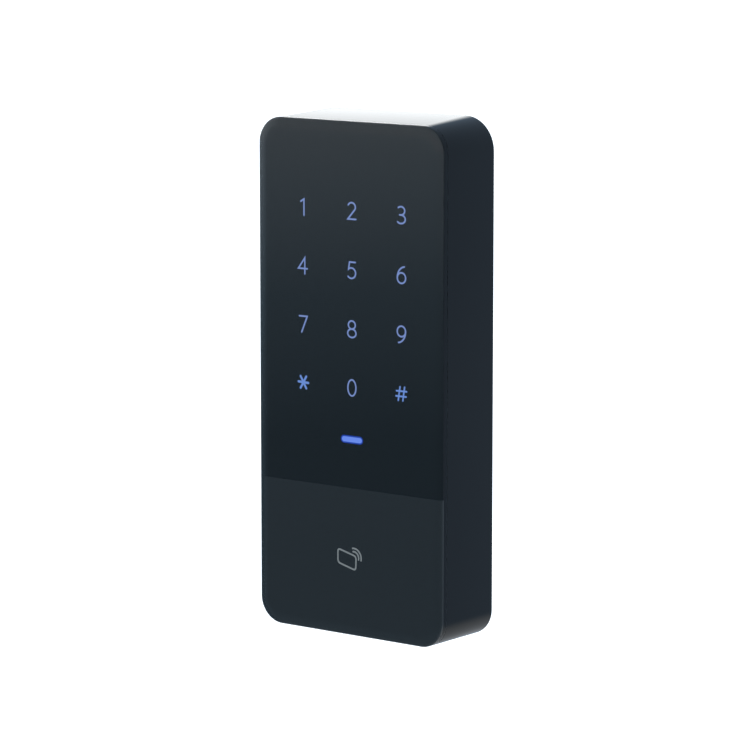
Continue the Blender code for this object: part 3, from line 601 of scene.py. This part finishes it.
def edge_paint_piece(ink):
    """Black paint up the plate's side, behind its round front edge."""
    outer = case_outline(PRINT_MARGIN)
    inner = case_outline(PRINT_MARGIN + PRINT_THICKNESS)
    front = FACE_Y + EDGE_PAINT_DEPTH
    back = PRINT_Y - PRINT_THICKNESS
    rings = [level(outer, front), level(outer, back), level(inner, back), level(inner, front)]
    bm = bmesh.new()
    add_rings(bm, rings, closed=True)
    make_piece("print_edge", bm, ink)


# Legends: single strokes drawn in millimetres about each legend's centre.


def arc(centre_x, centre_z, radius_x, radius_z, start, end):
    """Points along an elliptical arc, in degrees anticlockwise from +X."""
    points = []
    for step in range(ARC_STEPS + 1):
        angle = math.radians(start + (end - start) * step / ARC_STEPS)
        x = centre_x + radius_x * math.cos(angle)
        points.append((x, centre_z + radius_z * math.sin(angle)))
    return points


def digit_strokes():
    """The strokes of each legend, as lists of points."""
    top, low = 2.78, -2.78
    return {
        "1": [[(-0.95, 1.95), (0.45, top), (0.45, low)]],
        "2": [arc(-0.05, 1.33, 1.62, 1.53, 155, -28) + [(-1.65, low), (1.80, low)]],
        "3": [
            arc(-0.25, 1.46, 1.60, 1.40, 135, -90) + [(-0.80, 0.06)],
            arc(-0.25, -1.40, 1.85, 1.46, 90, -140),
        ],
        "4": [[(0.75, low), (0.75, top), (-2.05, -0.95), (1.85, -0.95)]],
        "5": [[(1.50, top), (-1.00, top)] + arc(-0.20, -1.00, 1.85, 1.80, 130, -140)],
        "6": [arc(1.55, -1.00, 3.32, 3.82, 96, 180), arc(0.00, -1.06, 1.77, 1.80, 0, 360)],
        "7": [[(-1.70, top), (1.75, top), (-0.70, low)]],
        "8": [arc(0.00, 1.46, 1.50, 1.40, 0, 360), arc(0.00, -1.40, 1.80, 1.46, 0, 360)],
        "9": [arc(-1.55, 1.00, 3.32, 3.82, 276, 360), arc(0.00, 1.06, 1.77, 1.80, 0, 360)],
        "0": [arc(0.00, 0.00, 1.75, top, 0, 360)],
        "star": [
            [(-1.25, 2.05), (1.25, -2.05)],
            [(1.25, 2.05), (-1.25, -2.05)],
            [(-2.15, 0.10), (2.15, -0.10)],
        ],
        "hash": [
            [(-0.55, 2.35), (-1.30, -2.35)],
            [(1.40, 2.35), (0.65, -2.35)],
            [(-2.05, 0.90), (2.25, 0.90)],
            [(-2.25, -0.90), (2.05, -0.90)],
        ],
    }


def card_strokes():
    """A slanted card outline with two waves at its upper right corner."""
    corners = [Vector(corner) for corner in ((3.9, 1.4), (-4.1, 3.4), (-4.1, -1.5), (3.7, -3.5))]
    radius = 1.2
    steps = 8
    card = []
    for index, corner in enumerate(corners):
        first = corner + (corners[index - 1] - corner).normalized() * radius
        last = corner + (corners[(index + 1) % 4] - corner).normalized() * radius
        for step in range(steps + 1):
            share = step / steps
            bend = first.lerp(corner, share).lerp(corner.lerp(last, share), share)
            card.append((bend.x, bend.y))
    card.append(card[0])
    waves = [arc(2.9, 0.8, reach, reach * 1.05, 100, -10) for reach in (2.1, 3.2)]
    return [card, *waves]


def stroke_sides(path, width, closed):
    """The points on the left and on the right of a stroke's middle line."""
    left, right = [], []
    for index, point in enumerate(path):
        before = path[index - 1] if closed or index > 0 else None
        after = path[(index + 1) % len(path)] if closed or index < len(path) - 1 else None
        into = (point - (before or point * 2.0 - after)).normalized()
        out = ((after or point * 2.0 - before) - point).normalized()
        side = Vector((-into.y - out.y, into.x + out.x)).normalized()
        reach = width / 2.0 / max(side.dot(Vector((-into.y, into.x))), MITRE_LIMIT)
        left.append(point + side * reach)
        right.append(point - side * reach)
    return left, right


def stroke_cap(point, direction, width):
    """Points round the half-circle end of a stroke, from its left side to its right."""
    heading = math.atan2(direction.y, direction.x)
    points = []
    for step in range(1, CAP_STEPS):
        angle = heading + math.pi / 2.0 - math.pi * step / CAP_STEPS
        points.append(point + Vector((math.cos(angle), math.sin(angle))) * width / 2.0)
    return points


def add_stroke(bm, points, width, centre, y):
    """A flat ribbon of one width, round at its ends unless it closes on itself."""

    def ring(side, share):
        return [
            (centre[0] + p.x * MM, y + share * LEGEND_THICKNESS, centre[1] + p.y * MM)
            for p in side
        ]

    path = [Vector(point) for point in points]
    closed = (path[0] - path[-1]).length < 1e-6
    if closed:
        path.pop()
    left, right = stroke_sides(path, width, closed)
    if closed:
        rings = [ring(left, 0.0), ring(left, 1.0), ring(right, 1.0), ring(right, 0.0)]
        add_rings(bm, rings, closed=True)
        return
    end = stroke_cap(path[-1], path[-1] - path[-2], width)
    start = stroke_cap(path[0], path[0] - path[1], width)
    outline = left + end + right[::-1] + start
    add_rings(bm, [ring(outline, 0.0), ring(outline, 1.0)], closed=False)


def legend_piece(name, strokes, width, centre, material, layer=0):
    """One legend, whose strokes lie just in front of each other. A higher layer is further out."""
    bm = bmesh.new()
    for index, points in enumerate(strokes, layer + 1):
        y = PRINT_Y - LEGEND_THICKNESS * (1.0 + 0.2 * index)
        add_stroke(bm, points, width / MM, centre, y)
    make_piece(name, bm, material)


def status_bar():
    """The lit bar: a bright middle in a deeper blue rim."""
    half = (BAR_WIDTH - BAR_HEIGHT) / 2.0 / MM
    line = [(-half, 0.0), (half, 0.0)]
    rim = lit_material("bar_rim_blue", BAR_RIM_LIGHT)
    middle = lit_material("bar_lit_blue", BAR_LIGHT)
    centre = (0.0, BAR_Z)
    legend_piece("status_bar_rim", [line], BAR_HEIGHT, centre, rim)
    legend_piece("status_bar", [line], BAR_HEIGHT - 2.0 * BAR_RIM, centre, middle, 1)


def legends():
    """The twelve key legends, the status bar and the card symbol."""
    digit = lit_material("digit_lit_blue", DIGIT_LIGHT)
    sign = lit_material("sign_lit_blue", SIGN_LIGHT)
    widths = {"star": STAR_STROKE, "hash": HASH_STROKE}
    strokes = digit_strokes()
    for row, names in enumerate(KEY_ROWS):
        for column, name in enumerate(names):
            centre = ((column - 1) * KEY_PITCH_X, TOP_ROW_Z - row * KEY_PITCH_Z)
            width = widths.get(name, LEGEND_STROKE)
            light = sign if name in widths else digit
            legend_piece("legend_" + name, strokes[name], width, centre, light)
    status_bar()
    grey = ink_material("ink_grey", CARD_INK)
    legend_piece("card_symbol", card_strokes(), CARD_STROKE, CARD_CENTRE, grey)


# Pieces carried over from the frame.


def dress_nodes(materials, slots):
    """Gives every CAD node the material of its slot."""
    for node, slot in slots.items():
        NODES[node].data.materials.clear()
        NODES[node].data.materials.append(materials[slot])


def soften(node, material, softness):
    """Stands in for a CAD node: the same solid with soft edges."""
    source = NODES[node]
    bm = bmesh.new()
    bm.from_mesh(source.data)
    bmesh.ops.remove_doubles(bm, verts=bm.verts, dist=MERGE_DISTANCE)
    bmesh.ops.dissolve_limit(bm, angle_limit=FLAT_ANGLE, verts=bm.verts, edges=bm.edges)
    piece = make_piece(node + "_soft", bm, material, source["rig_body"], SOFT_SHARP_ANGLE)
    bevel = piece.modifiers.new("soft_edges", "BEVEL")
    bevel.width = softness
    bevel.segments = 2
    bevel.limit_method = "ANGLE"
    bevel.angle_limit = math.radians(SOFT_SHARP_ANGLE)
    bevel.harden_normals = True
    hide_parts(node)
    return piece


# Studio.


def floor():
    """A plain pale floor, well below the reader. It throws no light or reflection on it."""
    bm = bmesh.new()
    bmesh.ops.create_grid(bm, x_segments=1, y_segments=1, size=FLOOR_SIZE)
    material, shader = new_material("floor_pale", (0.96, 0.96, 0.96), 0.9)
    glow(material, shader, (1.0, 1.0, 1.0), 0.7)
    ground = make_piece("floor", bm, material, None)
    ground.location.z = FLOOR_Z
    ground.visible_glossy = False
    ground.visible_diffuse = False
    ground.visible_transmission = False


def room_colour(brightness):
    """Light of this brightness. It is cooler where it is dim."""
    share = min(max((brightness - DIM_BELOW) / TINT_SPREAD, 0.0), 1.0)
    return tuple(brightness * (dim + (1.0 - dim) * share) for dim in DIM_TINT)


def blend(tree, share, first, second):
    """A colour that goes from the first to the second as the share goes from 0 to 1."""
    node = tree.nodes.new("ShaderNodeMix")
    node.data_type = "RGBA"
    sockets = {socket.name: socket for socket in node.inputs if socket.type == "RGBA"}
    feed(tree, node.inputs["Factor"], share)
    feed(tree, sockets["A"], first)
    feed(tree, sockets["B"], second)
    return next(socket for socket in node.outputs if socket.type == "RGBA")


def scale_colour(tree, colour, factor):
    """A colour made brighter or darker by a factor."""
    node = tree.nodes.new("ShaderNodeVectorMath")
    node.operation = "SCALE"
    tree.links.new(colour, node.inputs["Vector"])
    feed(tree, node.inputs["Scale"], factor)
    return node.outputs["Vector"]


def room_light(tree):
    """A dim room: lighter high up in front, pale low down behind, a soft box behind its left."""
    coordinates = tree.nodes.new("ShaderNodeTexCoord")
    split = tree.nodes.new("ShaderNodeSeparateXYZ")
    tree.links.new(coordinates.outputs["Generated"], split.inputs["Vector"])
    x, y, z = split.outputs["X"], split.outputs["Y"], split.outputs["Z"]
    height = remap(tree, z, (-0.5, 0.5), (0.0, 1.0))
    stops = [(position + 0.5, room_colour(value)) for position, value in FRONT_WALL]
    front = scale_colour(tree, colour_ramp(tree, height, stops), remap(tree, x, *FRONT_LEFT))
    below = remap(tree, z, FLOOR_FADE, (0.0, 1.0), smooth=True)
    back = blend(tree, below, (*BACK_WALL, 1.0), (*BACK_FLOOR, 1.0))
    front_share = remap(tree, y, FRONT_FADE, (0.0, 1.0), smooth=True)
    walls = blend(tree, front_share, back, front)
    inwards = remap(tree, x, SOFT_BOX_EDGE, (0.0, 1.0), smooth=True)
    upwards = remap(tree, z, SOFT_BOX_BOTTOM, (0.0, 1.0), smooth=True)
    backwards = remap(tree, y, SOFT_BOX_BACK, (0.0, 1.0), smooth=True)
    in_box = calculate(tree, "MULTIPLY", calculate(tree, "MULTIPLY", inwards, upwards), backwards)
    return blend(tree, in_box, walls, (*SOFT_BOX, 1.0))


def studio_light():
    """Room light on the reader, before a plain white backdrop that only the camera sees."""
    scene = bpy.context.scene
    scene.view_settings.view_transform = "Standard"
    scene.world = bpy.data.worlds.new("studio")
    scene.world.use_nodes = True
    tree = scene.world.node_tree
    tree.nodes.clear()
    room = tree.nodes.new("ShaderNodeBackground")
    tree.links.new(room_light(tree), room.inputs["Color"])
    backdrop = tree.nodes.new("ShaderNodeBackground")
    backdrop.inputs["Color"].default_value = (1.0, 1.0, 1.0, 1.0)
    backdrop.inputs["Strength"].default_value = 1.1
    rays = tree.nodes.new("ShaderNodeLightPath")
    mix = tree.nodes.new("ShaderNodeMixShader")
    tree.links.new(rays.outputs["Is Camera Ray"], mix.inputs["Fac"])
    tree.links.new(room.outputs["Background"], mix.inputs[1])
    tree.links.new(backdrop.outputs["Background"], mix.inputs[2])
    output = tree.nodes.new("ShaderNodeOutputWorld")
    tree.links.new(mix.outputs["Shader"], output.inputs["Surface"])


def camera():
    """The camera, which looks along one direction and is moved square to it."""
    azimuth = math.radians(CAMERA_AZIMUTH)
    elevation = math.radians(CAMERA_ELEVATION)
    back = Vector(
        (
            math.sin(azimuth) * math.cos(elevation),
            -math.cos(azimuth) * math.cos(elevation),
            math.sin(elevation),
        )
    )
    right = Vector((math.cos(azimuth), math.sin(azimuth), 0.0))
    up = back.cross(right)
    data = bpy.data.cameras.new("camera")
    data.lens = CAMERA_LENS
    data.sensor_width = 36.0
    data.clip_end = 200.0
    eye = bpy.data.objects.new("camera", data)
    bpy.context.scene.collection.objects.link(eye)
    face_centre = Vector((0.0, FACE_Y, (GLASS_LOW.z + GLASS_HIGH.z) / 2.0))
    eye.location = face_centre + back * CAMERA_DISTANCE + right * CAMERA_RIGHT + up * CAMERA_UP
    eye.rotation_mode = "QUATERNION"
    eye.rotation_quaternion = (-back).to_track_quat("-Z", "Y")
    bpy.context.scene.camera = eye


def main():
    """Builds every visual piece, then the studio and the camera."""
    materials = make_materials()
    subparts = frame["record"]["subparts"]
    slots = {entry["node"]: entry["material_slot"] for entry in subparts}
    dress_nodes(materials, slots)
    housing_piece(materials["housing_black"])
    glass_piece(materials["glass"])
    print_piece("print_upper", True, materials["film_black"])
    print_piece("print_lower", False, ink_material("ink_satin", LOWER_INK, LOWER_INK_SHEEN))
    edge_paint_piece(materials["film_black"])
    legends()
    for node, softness in SOFT_EDGES.items():
        soften(node, materials[slots[node]], softness * MM)
    floor()
    studio_light()
    camera()


main()
